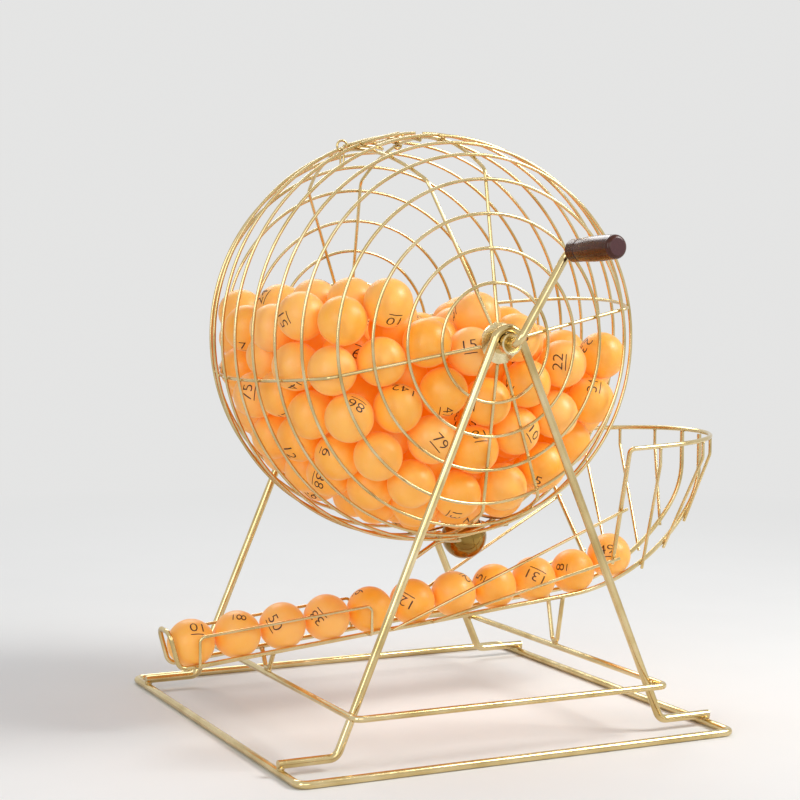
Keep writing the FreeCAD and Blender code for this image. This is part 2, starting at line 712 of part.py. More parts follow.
def chute_rails():
    """Both rails and the end stop, bent from one wire."""
    top_z = rim_z(CHUTE_TOP_X) - RIM_WIRE_D / 2 - RIM_WIRE_D * RIM_SLOPE - WELD_GAP
    knee_z = chute_z(CHUTE_KNEE_X)
    steep_z = knee_z + (CHUTE_TOP_X - CHUTE_KNEE_X) * math.tan(CHUTE_STEEP)
    stop_x = CHUTE_START_X + STOP_RUN[0]
    stop_z = CHUTE_START_Z + STOP_RUN[1]
    half = [
        (CHUTE_TOP_X, top_z, 0.0),
        (CHUTE_TOP_X, steep_z, CHUTE_TOP_ARC_R),
        (CHUTE_KNEE_X, knee_z, CHUTE_ARC_R),
        (CHUTE_START_X, CHUTE_START_Z, STOP_LOW_BEND),
        (stop_x, stop_z, STOP_TOP_BEND),
    ]
    points = [Vector(x, -CHUTE_HALF_Y, z) for x, z, _ in half]
    points += [Vector(x, CHUTE_HALF_Y, z) for x, z, _ in reversed(half)]
    bends = [bend for _, _, bend in half]
    return [bent_wire(points, bends + bends[::-1], CHUTE_WIRE_D)]


def chute_ball_centres():
    """Balls in a row on the rails, the first beside the end stop."""
    reach = (BALL_D + CHUTE_WIRE_D) / 2
    lift = math.sqrt(reach ** 2 - CHUTE_HALF_Y ** 2) + CHUTE_BALL_GAP
    rail = (math.cos(CHUTE_ANGLE), math.sin(CHUTE_ANGLE))
    stop_angle = math.atan2(STOP_RUN[1], STOP_RUN[0])
    along = lift / math.tan((stop_angle - CHUTE_ANGLE) / 2) + CHUTE_FIRST_BALL_GAP
    x = CHUTE_START_X + rail[0] * along - rail[1] * lift
    z = CHUTE_START_Z + rail[1] * along + rail[0] * lift
    centres = []
    arc_r = CHUTE_ARC_R - lift
    arc_start_x = CHUTE_ARC_X + arc_r * math.sin(CHUTE_ANGLE)
    for _ in range(CHUTE_BALLS):
        centres.append(Vector(x, 0, z))
        x += rail[0] * CHUTE_BALL_PITCH
        z += rail[1] * CHUTE_BALL_PITCH
        if x > arc_start_x:
            turn = (x - arc_start_x) / rail[0] / arc_r + CHUTE_ANGLE
            x = CHUTE_ARC_X + arc_r * math.sin(turn)
            z = CHUTE_ARC_Z - arc_r * math.cos(turn)
    return centres


def chute_balls():
    ball = hollow_ball(BALL_D, BALL_WALL)
    return [placed(ball, centre) for centre in chute_ball_centres()]


def guard(side):
    """Staple beside the balls; its feet turn in to the rail."""
    foot_y = side * (CHUTE_HALF_Y + CHUTE_WIRE_D / 2 + WELD_GAP)
    y = side * GUARD_Y
    left, right = GUARD_X
    points = [
        Vector(left, foot_y, chute_z(left)),
        Vector(left, y, chute_z(left)),
        Vector(left, y, chute_z(left) + GUARD_HEIGHT),
        Vector(right, y, chute_z(right) + GUARD_HEIGHT),
        Vector(right, y, chute_z(right)),
        Vector(right, foot_y, chute_z(right)),
    ]
    bends = [0, GUARD_FOOT_BEND, GUARD_TOP_BEND, GUARD_TOP_BEND, GUARD_FOOT_BEND, 0]
    return [bent_wire(points, bends, GUARD_WIRE_D)]


def chute_support(side):
    """V of wire from the brace frame's side rail up to both chute rails."""
    x = side * BRACE_HALF_X
    foot_z = BRACE_Z + (BRACE_WIRE_D + SUPPORT_WIRE_D) / 2 + WELD_GAP
    feet = [Vector(x, half * SUPPORT_HALF_FOOT, foot_z) for half in (-1, 1)]
    rails = [Vector(x, half * CHUTE_HALF_Y, chute_z(x)) for half in (-1, 1)]
    # Each flat end stops at the rail's skin; the rail's slope lifts one edge of it.
    short = (CHUTE_WIRE_D + SUPPORT_WIRE_D * CHUTE_SLOPE) / 2 + WELD_GAP
    ends = [rail - (rail - foot).normalize() * short for foot, rail in zip(feet, rails)]
    points = [ends[0], feet[0], feet[1], ends[1]]
    return [bent_wire(points, SUPPORT_BEND, SUPPORT_WIRE_D)]


# ---- basket ------------------------------------------------------------------
def rim_point(x, y):
    return Vector(x, y, rim_z(x))


def rim_at(angle):
    """Point on the rim; beyond the half circle it lies on the straight side."""
    if angle < -90.0:
        return rim_point(RIM_CENTRE_X - RIM_R * math.tan(math.radians(-90.0 - angle)), -RIM_R)
    a = math.radians(angle)
    return rim_point(RIM_CENTRE_X + RIM_R * math.cos(a), RIM_R * math.sin(a))


def rim_foot(side):
    return Vector(RIM_END[0], side * RIM_END[1], RIM_END[2])


def basket_rim():
    """Half circle with straight sides whose ends bend down towards the chute."""
    tilt = Vector(1, 0, RIM_SLOPE).normalize()
    centre = rim_point(RIM_CENTRE_X, 0)
    far = centre + tilt * RIM_R
    half = {}
    for side in (-1, 1):
        corner = rim_point(RIM_CORNER_X, side * RIM_R)
        points = [rim_foot(side), corner, rim_point(RIM_CENTRE_X, side * RIM_R)]
        half[side] = bent_edges(points, [0, RIM_CORNER_BEND, 0])
    arc = Part.Arc(rim_point(RIM_CENTRE_X, -RIM_R), far, rim_point(RIM_CENTRE_X, RIM_R))
    edges = half[-1] + [arc.toShape()] + half[1][::-1]
    return [wire_along(edges, RIM_WIRE_D)]


def basket_rib(top_angle, rail_x, side):
    """Rib from under the rim, down and in to the outside of a chute rail."""
    top = rim_at(top_angle)
    top = Vector(top.x, -side * top.y, top.z - (RIM_WIRE_D + RIB_WIRE_D * RIM_SLOPE) / 2 - WELD_GAP)
    bend = top - Vector(0, 0, RIB_DROP)
    rail, rail_way = chute_arc_point(rail_x)
    rail.y = side * CHUTE_HALF_Y
    rib_way = (rail - bend).normalize()
    outside = Vector(rail_way.z, 0, -rail_way.x)
    distance = (RIB_WIRE_D + CHUTE_WIRE_D) / 2 + WELD_GAP
    crossing = rail + crossing_offset(rib_way, rail_way, outside, distance)
    end = crossing + (crossing - bend).normalize() * RIB_PAST_RAIL
    return bent_wire([top, bend, end], RIB_BEND, RIB_WIRE_D)


def basket_ribs():
    front = [basket_rib(angle, x, -1) for angle, x in FRONT_RIBS]
    rear = [basket_rib(angle, x, 1) for angle, x in REAR_RIBS]
    return front + rear


def funnel_guide(start_x, cross_z, side):
    """Straight wire from a rail's outside, up past the outside of the rim's end."""
    start_y = side * (CHUTE_HALF_Y + (CHUTE_WIRE_D + GUIDE_WIRE_D) / 2 + WELD_GAP)
    start = Vector(start_x, start_y, chute_z(start_x))
    corner = rim_point(RIM_CORNER_X, side * RIM_R)
    down = rim_foot(side) - corner
    meet = corner + down * ((corner.z - cross_z) / -down.z)
    distance = (RIM_WIRE_D + GUIDE_WIRE_D) / 2 + WELD_GAP
    outside = Vector(0, side, 0)
    crossing = meet + crossing_offset(down, meet - start, outside, distance)
    end = crossing + (crossing - start).normalize() * GUIDE_PAST_RIM
    return wire_along([Part.LineSegment(start, end).toShape()], GUIDE_WIRE_D)


def funnel_guides():
    pairs = list(zip(GUIDE_START_X, GUIDE_CROSS_Z))
    return [funnel_guide(x, z, side) for side in (-1, 1) for x, z in pairs]


# ---- ball pile ---------------------------------------------------------------
def push_inside(x, y, z):
    """Move a ball's centre out of the space swept by the turning cage's wires."""
    clear = BALL_D / 2 + PILE_WALL_GAP
    side = 1.0 if y >= 0 else -1.0
    rho = math.hypot(x, z) or TINY
    new_y = abs(y)
    new_rho = rho
    # inside the barrel part of the hoops
    far = math.hypot(new_y, new_rho + PROFILE_DROP)
    most = PROFILE_R + HOOP_OFFSET - HOOP_WIRE_D / 2 - clear
    if far > most:
        new_y *= most / far
        new_rho = (new_rho + PROFILE_DROP) * most / far - PROFILE_DROP
    # inside the spokes
    length = math.hypot(1.0, CONE_SLOPE)
    past = (new_y - spoke_y(new_rho)) / length + HOOP_WIRE_D / 2 + clear
    if past > 0:
        new_y -= past / length
        new_rho -= past * CONE_SLOPE / length
    # clear of the circles swept by the gate's ball, the latch link, the hinge curls
    # and the edges of the hub bosses
    link_rho = eye_centre()[1] - LINK_LENGTH
    swept = [
        (0.0, GATE_BALL_ORBIT_RADIUS, GATE_BALL_D / 2),
        (side * (EYE_Y + LINK_WIDTH / 2), link_rho, LINK_WIRE_D),
        (side * (EYE_Y - LINK_WIDTH / 2), link_rho, LINK_WIRE_D),
        (ARM_Y, HINGE_RHO - CURL_R, ARM_WIRE_D / 2),
        (HUB_INNER_Y, HUB_BOSS_R, 0.0),
    ]
    for at_y, at_rho, radius in swept:
        away_y = new_y - at_y
        away_rho = new_rho - at_rho
        distance = math.hypot(away_y, away_rho)
        short = clear + radius - distance
        if short > 0:
            new_y += away_y / distance * short
            new_rho += away_rho / distance * short
    new_rho = max(new_rho, 0.0)
    return x * new_rho / rho, side * new_y, z * new_rho / rho


def push_apart(balls, spacing):
    """One sweep over neighbouring pairs that moves close balls apart."""
    cells = {}
    for index, (x, y, z) in enumerate(balls):
        key = (int(x // spacing), int(y // spacing), int(z // spacing))
        cells.setdefault(key, []).append(index)
    steps = (-1, 0, 1)
    for (i, j, k), here in cells.items():
        near = [n for a in steps for b in steps for c in steps for n in cells.get((i + a, j + b, k + c), ())]
        for first in here:
            for second in near:
                if second <= first:
                    continue
                one, two = balls[first], balls[second]
                away = [b - a for a, b in zip(one, two)]
                distance = math.sqrt(sum(d * d for d in away)) or TINY
                if distance < spacing:
                    share = (spacing - distance) / distance / 2
                    balls[first] = tuple(a - d * share for a, d in zip(one, away))
                    balls[second] = tuple(b + d * share for b, d in zip(two, away))
    return [push_inside(*ball) for ball in balls]


def pile_ball_centres():
    """Balls dropped at random places in the cage and left to settle."""
    random.seed(PILE_SEED)
    reach = PROFILE_PEAK - BALL_D
    balls = []
    while len(balls) < PILE_BALLS:
        x, z = random.uniform(-reach, reach), random.uniform(-reach, reach)
        balls.append(push_inside(x, random.uniform(-reach, reach), z))
    tilt = math.radians(PILE_TILT)
    for step in range(PILE_STEPS):
        fall = PILE_FALL_LENGTH * (1 - step / PILE_STEPS)
        down = (-fall * math.sin(tilt), 0.0, -fall * math.cos(tilt))
        balls = [(x + down[0], y, z + down[2]) for x, y, z in balls]
        for _ in range(PILE_SWEEPS):
            balls = push_apart(balls, PILE_SPACING)
    for _ in range(PILE_LAST_SWEEPS):
        balls = push_apart(balls, PILE_SPACING)
    return [Vector(x, y, AXIS_Z + z) for x, y, z in balls]


def pile_balls():
    ball = hollow_ball(BALL_D, BALL_WALL)
    return [placed(ball, centre) for centre in pile_ball_centres()]


# ---- all nodes ---------------------------------------------------------------
def main():
    os.makedirs("parts", exist_ok=True)
    save("base_frame", flat_frame(BASE_HALF_X, BASE_HALF_Y, BASE_WIRE_D / 2, BASE_BEND, BASE_WIRE_D))
    save("brace_frame", flat_frame(BRACE_HALF_X, BRACE_HALF_Y, BRACE_Z, BRACE_BEND, BRACE_WIRE_D))
    for side, end in ((-1, "front"), (1, "rear")):
        save("a_frame_" + end, a_frame(side))
        save("bush_" + end, bush(side))
        save("hub_" + end, hub(side))
        save("cone_rings_" + end, cone_rings(side))
        save("guard_" + end, guard(side))
    for side, end in ((-1, "left"), (1, "right")):
        save("chute_support_" + end, chute_support(side))
    nodes = {
        "rear_axle": rear_axle,
        "crank_rod": crank_rod,
        "grip": grip,
        "hoop_wires": hoop_wires,
        "barrel_rings": barrel_rings,
        "bay_rings": bay_rings,
        "door_hinge_arms": door_hinge_arms,
        "door_cross_bars": door_cross_bars,
        "door_ring_wires": door_ring_wires,
        "door_tongue": door_tongue,
        "latch_eye": latch_eye,
        "latch_link": latch_link,
        "gate_hinge_arms": gate_hinge_arms,
        "gate_cross_bars": gate_cross_bars,
        "gate_wires": gate_wires,
        "gate_lever": gate_lever,
        "gate_ball": gate_ball,
        "chute_rails": chute_rails,
        "basket_rim": basket_rim,
        "basket_ribs": basket_ribs,
        "funnel_guides": funnel_guides,
        "chute_balls": chute_balls,
        "pile_balls": pile_balls,
    }
    for name, build in nodes.items():
        save(name, build())


main()
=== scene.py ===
import bpy
import bmesh
import math
import random
import numpy as np
from mathutils import Matrix, Vector
from mathutils.bvhtree import BVHTree
from mathutils.geometry import intersect_ray_tri


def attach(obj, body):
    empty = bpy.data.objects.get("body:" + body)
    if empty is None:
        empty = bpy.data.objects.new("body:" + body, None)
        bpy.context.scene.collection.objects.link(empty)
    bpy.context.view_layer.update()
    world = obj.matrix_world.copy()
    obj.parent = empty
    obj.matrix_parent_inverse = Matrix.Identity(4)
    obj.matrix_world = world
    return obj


# Looks of the raffle drum: brass wire cage and stand, printed orange balls, a
# polished brass ball on the gate and a dark moulded grip.  Lengths are in metres.

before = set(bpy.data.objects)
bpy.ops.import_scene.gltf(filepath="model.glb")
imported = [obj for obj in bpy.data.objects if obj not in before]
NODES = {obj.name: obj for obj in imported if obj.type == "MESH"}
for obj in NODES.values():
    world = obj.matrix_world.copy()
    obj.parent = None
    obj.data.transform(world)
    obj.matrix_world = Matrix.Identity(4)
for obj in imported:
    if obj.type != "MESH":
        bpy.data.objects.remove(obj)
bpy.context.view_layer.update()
MM = 0.001

# ---- camera ------------------------------------------------------------------
CAMERA_AT = Vector((-0.70843, -1.44444, 0.38176))
CAMERA_YAW = math.radians(25.579)
CAMERA_PITCH = math.radians(3.918)
CAMERA_ROLL = math.radians(0.21)
IMAGE_SIZE = 800.0
FOCAL_PIXELS = 1848.88
SENSOR = 36.0
CLIP_NEAR = 0.02
CLIP_FAR = 40.0

# ---- sizes that the part's source gives ----------------------------------------
AXIS_Z = 326.5 * MM
BALL_R = 20.0 * MM
CRANK_ANGLE = math.radians(58.4)
PIN_SPLAY = math.radians(2.75)
PIN_WAY = (
    math.cos(CRANK_ANGLE) * math.sin(PIN_SPLAY),
    -math.cos(PIN_SPLAY),
    math.sin(CRANK_ANGLE) * math.sin(PIN_SPLAY),
)

# ---- printed numbers -----------------------------------------------------------
DIGIT_HEIGHT = 9.2 * MM
DIGIT_THINNING = 0.10 * MM
DIGIT_WIDENING = 1.22
INK_LIFT = 0.03 * MM
BAR_DROP = 2.2 * MM
BAR_WIDTH = 0.8 * MM
INK_STEP = 0.8 * MM
INK_ROUNDS = 4
CAP_HEIGHT = 0.73
CURVE_STEPS = 3
# Number, the place on the picture where its middle is seen, and its turn there in degrees.
CHUTE_NUMBERS = (
    ("01", 197, 628, -3),
    ("8", 240, 617, -88),
    ("50", 274, 623, -60),
    ("33", 317, 617, 134),
    ("6", 358, 592, -120),
    ("12", 406, 601, 151),
    ("5", 480, 577, 62),
    ("8", 561, 567, 82),
)
PILE_NUMBERS = (
    ("51", 283, 320, 112),
    ("7", 243, 347, -4),
    ("10", 394, 321, 176),
    ("86", 357, 404, 150),
    ("6", 325, 452, -112),
    ("5", 473, 424, -18),
    ("14", 507, 387, 70),
    ("10", 534, 434, -62),
    ("34", 594, 385, 76),
    ("12", 289, 454, -58),
    ("26", 311, 494, -48),
    ("4", 294, 387, 150),
    ("5", 231, 315, 24),
    ("24", 262, 296, 64),
    ("15", 470, 346, 8),
    ("71", 545, 494, -160),
    ("9", 357, 352, 160),
    ("17", 467, 524, 40),
    ("3", 585, 418, 96),
)
NUMBER_SEED = 11
HIGHEST_NUMBER = 207
REPEATED_NUMBERS = 11
# Fewest mesh corners that have to agree on the centre of a ball.
CORNERS_OF_BALL = 200


def camera_axes():
    """Right, up and forward of the camera."""
    yaw, pitch = CAMERA_YAW, CAMERA_PITCH
    level = math.cos(pitch)
    ahead = Vector((math.sin(yaw) * level, math.cos(yaw) * level, -math.sin(pitch)))
    right = Vector((math.cos(yaw), -math.sin(yaw), 0.0))
    up = right.cross(ahead)
    turn, rest = math.sin(CAMERA_ROLL), math.cos(CAMERA_ROLL)
    return right * rest + up * turn, up * rest - right * turn, ahead


RIGHT, UP, AHEAD = camera_axes()


def add_camera():
    data = bpy.data.cameras.new("camera")
    data.sensor_width = SENSOR
    data.lens = FOCAL_PIXELS / IMAGE_SIZE * SENSOR
    data.clip_start = CLIP_NEAR
    data.clip_end = CLIP_FAR
    camera = bpy.data.objects.new("camera", data)
    bpy.context.scene.collection.objects.link(camera)
    turn = Matrix((RIGHT, UP, -AHEAD)).transposed().to_4x4()
    camera.matrix_world = Matrix.Translation(CAMERA_AT) @ turn
    bpy.context.scene.camera = camera


add_camera()


# ---- node helpers ----------------------------------------------------------------
class Nodes:
    """A new material with a Principled shader, and short calls to add nodes to it."""

    def __init__(self, name):
        self.material = bpy.data.materials.new(name)
        self.material.use_nodes = True
        self.tree = self.material.node_tree
        self.shader = self.tree.nodes["Principled BSDF"]
        texture = self.add("ShaderNodeTexCoord")
        self.coordinates = texture.outputs["Object"]
        self.normals = texture.outputs["Normal"]

    def add(self, kind, **inputs):
        node = self.tree.nodes.new(kind)
        for key, value in inputs.items():
            node.inputs[key.replace("_", " ")].default_value = value
        return node

    def join(self, source, target):
        self.tree.links.new(source, target)

    def set(self, **values):
        for key, value in values.items():
            self.shader.inputs[key.replace("_", " ")].default_value = value

    def tint(self, **colours):
        for key, colour in colours.items():
            self.shader.inputs[key.replace("_", " ")].default_value = (*colour, 1.0)

    def noise(self, scale, detail, stretch=None):
        """Noise with so many features per metre."""
        node = self.add("ShaderNodeTexNoise", Scale=scale, Detail=detail)
        where = self.coordinates
        if stretch is not None:
            mapping = self.add("ShaderNodeMapping")
            mapping.inputs["Scale"].default_value = stretch
            self.join(where, mapping.inputs["Vector"])
            where = mapping.outputs["Vector"]
        self.join(where, node.inputs["Vector"])
        return node.outputs["Fac"]

    def ramp(self, source, stops):
        """Colour ramp through (position, colour) stops."""
        node = self.add("ShaderNodeValToRGB")
        band = node.color_ramp
        while len(band.elements) < len(stops):
            band.elements.new(0.5)
        for element, (position, colour) in zip(band.elements, stops):
            element.position = position
            element.color = (*colour, 1.0)
        self.join(source, node.inputs["Fac"])
        return node.outputs["Color"]

    def spread(self, source, low, high, start=0.3, end=0.7):
        """Number that runs from low to high as the source runs from start to end."""
        node = self.add("ShaderNodeMapRange")
        for key, value in (("From Min", start), ("From Max", end), ("To Min", low), ("To Max", high)):
            node.inputs[key].default_value = value
        self.join(source, node.inputs["Value"])
        return node.outputs["Result"]

    def maths(self, operation, first, second):
        node = self.add("ShaderNodeMath")
        node.operation = operation
        for slot, value in enumerate((first, second)):
            if isinstance(value, (int, float)):
                node.inputs[slot].default_value = value
            else:
                self.join(value, node.inputs[slot])
        return node.outputs["Value"]

    def mix(self, factor, first, second, blend="MIX"):
        """Mix of two colours, each a socket or a plain colour."""
        node = self.add("ShaderNodeMix")
        node.data_type = "RGBA"
        node.blend_type = blend
        for slot, value in ((0, factor), (6, first), (7, second)):
            if isinstance(value, (int, float)):
                node.inputs[slot].default_value = value
            elif isinstance(value, tuple):
                node.inputs[slot].default_value = (*value, 1.0)
            else:
                self.join(value, node.inputs[slot])
        return node.outputs[2]

    def paint(self, colour):
        self.join(colour, self.shader.inputs["Base Color"])

    def roughen(self, source, low, high):
        self.join(self.spread(source, low, high), self.shader.inputs["Roughness"])

    def bump(self, *layers):
        """Bumps from (height, distance, strength) layers, one over the other."""
        below = None
        for height, distance, strength in layers:
            node = self.add("ShaderNodeBump", Strength=strength, Distance=distance)
            self.join(height, node.inputs["Height"])
            if below is not None:
                self.join(below, node.inputs["Normal"])
            below = node.outputs["Normal"]
        self.join(below, self.shader.inputs["Normal"])


# ---- materials -------------------------------------------------------------------
# Colours are linear red, green and blue.  Shades stand at places on a ramp from 0 to 1.
WIRE_SHADES = ((0.30, (0.56, 0.42, 0.18)), (0.50, (0.69, 0.54, 0.27)), (0.72, (0.77, 0.64, 0.38)))
WIRE_FLECK = (0.20, 0.13, 0.045)
WELD_SHADES = ((0.32, (0.30, 0.19, 0.07)), (0.52, (0.62, 0.47, 0.22)), (0.70, (0.74, 0.60, 0.34)))
HUB_DEEP = (0.70, 0.57, 0.31)
HUB_SHADES = ((0.30, HUB_DEEP), (0.60, (0.86, 0.76, 0.50)))
HUB_RING_SCALE = 1500.0
# Painted shade: the polished ball's brass is set far darker than the wire's, standing in for the dark
# surroundings it would mirror.
MIRROR_PAINTED_DARK_SHADES = ((0.30, (0.22, 0.125, 0.028)), (0.70, (0.38, 0.235, 0.060)))
MIRROR_PIT = (0.08, 0.045, 0.012)
BALL_TONES = ((0.0, (0.97, 0.41, 0.020)), (0.5, (0.98, 0.47, 0.050)), (1.0, (1.0, 0.55, 0.15)))
BALL_CLOUD = (1.0, 0.60, 0.14)
BALL_SCUFF = (1.0, 0.72, 0.42)
BALL_SHEEN = (1.0, 0.72, 0.48)
BALL_SCATTER = (1.0, 0.50, 0.06)
# Painted glow: a weak orange emission on every ball that stands in for light passing through and between
# the balls.
BALL_PAINTED_GLOW = (1.0, 0.27, 0.0)
INK_DARK = (0.045, 0.014, 0.006)
INK_WORN = (0.30, 0.10, 0.02)
GRIP_SHADES = ((0.30, (0.042, 0.009, 0.004)), (0.55, (0.066, 0.015, 0.007)), (0.80, (0.092, 0.025, 0.011)))
GRIP_WEAR = (0.14, 0.055, 0.035)
# Painted highlight: paler, greyer tint for the grip's flat end, standing in for the light that the end face
# catches.
GRIP_END_HIGHLIGHT = (0.080, 0.034, 0.038)
# Scales of the noise or place in x, y and z, for marks that run one way.
ALONG_GRIP = (9.0, 0.5, 9.0)
DOWN_BALL = (1.0, 1.0, 0.25)
ABOUT_AXIS = (1.0, 0.0, 1.0)


def brass_wire():
    """Bright-dipped wire: uneven champagne colour, faint ripples and a few dark flecks."""
    m = Nodes("brass_wire")
    colour = m.ramp(m.noise(scale=34.0, detail=5.0), WIRE_SHADES)
    fleck = m.spread(m.noise(scale=1100.0, detail=3.0), low=0.0, high=0.6, start=0.70, end=0.78)
    m.paint(m.mix(fleck, colour, WIRE_FLECK))
    m.roughen(m.noise(scale=140.0, detail=5.0), low=0.10, high=0.22)
    m.set(Metallic=1.0)
    ripple = m.noise(scale=260.0, detail=2.0)
    grain = m.noise(scale=3200.0, detail=2.0)
    m.bump((ripple, 0.06 * MM, 0.25), (grain, 0.01 * MM, 0.25))
    return m.material


def weld_metal():
    """Cast look of a small weld: darker, straw and bronze tints, lumpy."""
    m = Nodes("weld_metal")
    m.paint(m.ramp(m.noise(scale=700.0, detail=3.0), WELD_SHADES))
    m.roughen(m.noise(scale=1500.0, detail=3.0), low=0.24, high=0.46)
    m.set(Metallic=1.0)
    m.bump((m.noise(scale=1400.0, detail=3.0), 0.3 * MM, 0.5))
    return m.material


def turned_brass():
    """Turned and pressed brass: fine rings about the drum's axis."""
    m = Nodes("turned_brass")
    about_axis = m.add("ShaderNodeMapping")
    about_axis.inputs["Scale"].default_value = ABOUT_AXIS
    about_axis.inputs["Location"].default_value = (0.0, 0.0, -AXIS_Z)
    m.join(m.coordinates, about_axis.inputs["Vector"])
    radius = m.add("ShaderNodeVectorMath")
    radius.operation = "LENGTH"
    m.join(about_axis.outputs["Vector"], radius.inputs[0])
    fine = m.add("ShaderNodeTexNoise", Scale=3.0, Detail=4.0)
    fine.noise_dimensions = "1D"
    m.join(m.maths("MULTIPLY", radius.outputs["Value"], HUB_RING_SCALE), fine.inputs["W"])
    rings = fine.outputs["Fac"]
    colour = m.ramp(m.noise(scale=120.0, detail=4.0), HUB_SHADES)
    m.paint(m.mix(m.spread(rings, low=0.0, high=0.25), colour, HUB_DEEP))
    m.roughen(m.noise(scale=300.0, detail=5.0), low=0.20, high=0.30)
    m.set(Metallic=1.0)
    m.bump((rings, 0.03 * MM, 0.4), (m.noise(scale=900.0, detail=2.0), 0.01 * MM, 0.2))
    return m.material


def mirror_brass():
    """Polished brass ball with faint buffing haze and a few pits; its dark brown colour is painted shade
    that stands in for the dark surroundings the ball would mirror.
    """
    m = Nodes("mirror_brass")
    # The dark base colour is painted shade, not the brass's own tone; only its cloudy variation is the
    # metal's.
    colour = m.ramp(m.noise(scale=70.0, detail=4.0), MIRROR_PAINTED_DARK_SHADES)
    pit = m.spread(m.noise(scale=1500.0, detail=2.0), low=0.0, high=1.0, start=0.70, end=0.76)
    m.paint(m.mix(pit, colour, MIRROR_PIT))
    m.roughen(m.noise(scale=200.0, detail=6.0), low=0.04, high=0.13)
    m.set(Metallic=1.0)
    ripple = m.noise(scale=260.0, detail=2.0)
    grain = m.noise(scale=2600.0, detail=3.0)
    m.bump((ripple, 0.05 * MM, 0.25), (grain, 0.01 * MM, 0.3))
    return m.material


def ball_plastic():
    """Celluloid ball: warm orange, paler clouds, each ball a little different, matt skin with scuffs, and a
    weak painted glow that stands in for light passing through and between the balls.
    """
    m = Nodes("ball_plastic")
    island = m.add("ShaderNodeNewGeometry").outputs["Random Per Island"]
    cloud = m.spread(m.noise(scale=55.0, detail=4.0), low=0.0, high=0.45)
    colour = m.mix(cloud, m.ramp(island, BALL_TONES), BALL_CLOUD)
    scratches = m.noise(scale=1100.0, detail=4.0, stretch=DOWN_BALL)
    scuff = m.spread(scratches, low=0.0, high=0.30, start=0.62, end=0.78)
    m.paint(m.mix(scuff, colour, BALL_SCUFF))
    m.roughen(m.noise(scale=260.0, detail=5.0), low=0.36, high=0.50)
    m.set(IOR=1.52, Specular_IOR_Level=0.65)
    m.set(Subsurface_Weight=0.35, Subsurface_Scale=8.0 * MM, Subsurface_Radius=BALL_SCATTER)
    # The emission is painted light: a faint orange glow that lifts the shaded sides and gaps of the balls.
    m.set(Sheen_Weight=0.60, Sheen_Roughness=0.40, Emission_Strength=0.14)
    m.tint(Sheen_Tint=BALL_SHEEN, Emission_Color=BALL_PAINTED_GLOW)
    grain = m.noise(scale=1800.0, detail=3.0)
    dents = m.noise(scale=120.0, detail=2.0)
    m.bump((grain, 0.03 * MM, 0.30), (dents, 0.08 * MM, 0.12))
    return m.material


def ink():
    """Printed dark brown ink, thin in places."""
    m = Nodes("ink")
    worn = m.spread(m.noise(scale=1400.0, detail=4.0), low=0.0, high=0.55, start=0.55, end=0.75)
    m.paint(m.mix(worn, INK_DARK, INK_WORN))
    m.roughen(m.noise(scale=900.0, detail=3.0), low=0.42, high=0.60)
    m.bump((m.noise(scale=2600.0, detail=2.0), 0.02 * MM, 0.4))
    return m.material


def grip_plastic():
    """Dark plum-brown grip: faint streaks along it, handling marks, and a paler end face that is a painted
    highlight.
    """
    m = Nodes("grip_plastic")
    streak = m.noise(scale=60.0, detail=3.0, stretch=ALONG_GRIP)
    wear = m.spread(m.noise(scale=700.0, detail=4.0), low=0.0, high=0.22, start=0.68, end=0.80)
    colour = m.mix(wear, m.ramp(streak, GRIP_SHADES), GRIP_WEAR)
    # Painted highlight: faces that point along the pin, the flat end, are tinted paler as if lit.
    facing = m.add("ShaderNodeVectorMath")
    facing.operation = "DOT_PRODUCT"
    facing.inputs[1].default_value = PIN_WAY
    m.join(m.normals, facing.inputs[0])
    end = m.spread(facing.outputs["Value"], low=0.0, high=0.85, start=0.90, end=0.97)
    m.paint(m.mix(end, colour, GRIP_END_HIGHLIGHT))
    m.roughen(m.noise(scale=90.0, detail=3.0), low=0.24, high=0.29)
    m.set(Coat_Weight=0.15, Coat_Roughness=0.12, Specular_IOR_Level=0.25)
    m.bump((streak, 0.01 * MM, 0.10), (m.noise(scale=1500.0, detail=3.0), 0.004 * MM, 0.10))
    return m.material


MATERIALS = {
    "wire": brass_wire(),
    "weld": weld_metal(),
    "hub": turned_brass(),
    "gate_ball": mirror_brass(),
    "ball": ball_plastic(),
    "ink": ink(),
    "grip": grip_plastic(),
}
NODE_MATERIALS = {
    "hub_front": "hub",
    "hub_rear": "hub",
    "bush_front": "hub",
    "bush_rear": "hub",
    "gate_ball": "gate_ball",
    "chute_balls": "ball",
    "pile_balls": "ball",
    "grip": "grip",
}
for node_name, node in NODES.items():
    node.data.materials.clear()
    node.data.materials.append(MATERIALS[NODE_MATERIALS.get(node_name, "wire")])


# ---- pieces ----------------------------------------------------------------------
def add_piece(name, mesh, material, body):
    piece = bpy.data.objects.new(name, mesh)
    bpy.context.scene.collection.objects.link(piece)
    mesh.materials.clear()
    mesh.materials.append(MATERIALS[material])
    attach(piece, body)
    return piece


def ball_centres(node_name):
    """Centres of the balls in a node: where its outward normals, run back by a radius, meet."""
    mesh = NODES[node_name].data
    loops = len(mesh.loops)
    corner = np.zeros(loops, np.int32)
    mesh.loops.foreach_get("vertex_index", corner)
    points = np.zeros(len(mesh.vertices) * 3, np.float32)
    mesh.vertices.foreach_get("co", points)
    normals = np.zeros(loops * 3, np.float32)
    mesh.corner_normals.foreach_get("vector", normals)
    back = points.reshape(-1, 3)[corner] - normals.reshape(-1, 3) * BALL_R
    cells, cell_of, counts = np.unique(np.round(back / MM), axis=0, return_inverse=True, return_counts=True)
    cell_of = cell_of.reshape(-1)
    centres = []
    for cell in np.argsort(-counts):
        if counts[cell] < CORNERS_OF_BALL:
            break
        middle = Vector(back[cell_of == cell].mean(0))
        if all((middle - other).length > BALL_R for other in centres):
            centres.append(middle)
    return centres


